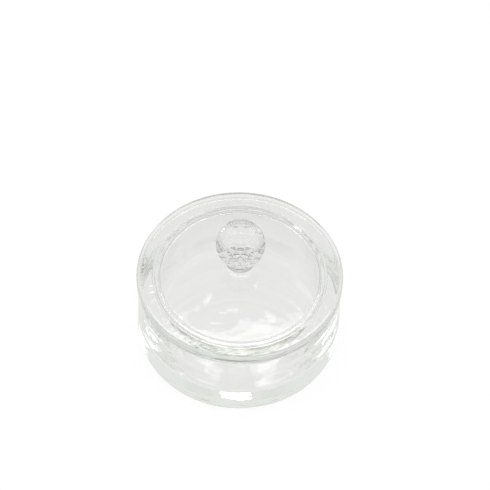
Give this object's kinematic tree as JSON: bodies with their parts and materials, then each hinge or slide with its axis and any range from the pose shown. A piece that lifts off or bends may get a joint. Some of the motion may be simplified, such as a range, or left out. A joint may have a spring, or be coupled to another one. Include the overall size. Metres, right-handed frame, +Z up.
{
  "type": "lidded dappen dish",
  "caption": "Low round clear glass dish with a thick floor, a loose domed glass lid that locates in the mouth, and a faceted glass ball knob.",
  "frame": {"origin": "middle of the underside of the dish, on the plane that it stands on", "axes": "+Z up along the axis of the dish, the lid and the knob; the object is round, so +X and +Y are any two level directions, with +X to the right and +Y away from someone in front"},
  "size_m": [0.0602, 0.0602, 0.0475],
  "materials": {
    "dish_glass": "clear pressed glass, fire polished, a very faint grey-green cast in the thick floor and rim",
    "lid_glass": "clear pressed glass, fire polished, a very faint grey-green cast seen through the edge",
    "knob_glass": "clear glass with small flat polished facets"
  },
  "bodies": {
    "dish": {"dish": "dish_glass"},
    "lid": {"lid": "lid_glass", "knob": "knob_glass"}
  },
  "joints": [
    {"name": "lid_lift", "type": "slide", "parent": "dish", "child": "lid", "axis": [0, 0, 1], "range_m": [0, 0.04]}
  ]
}
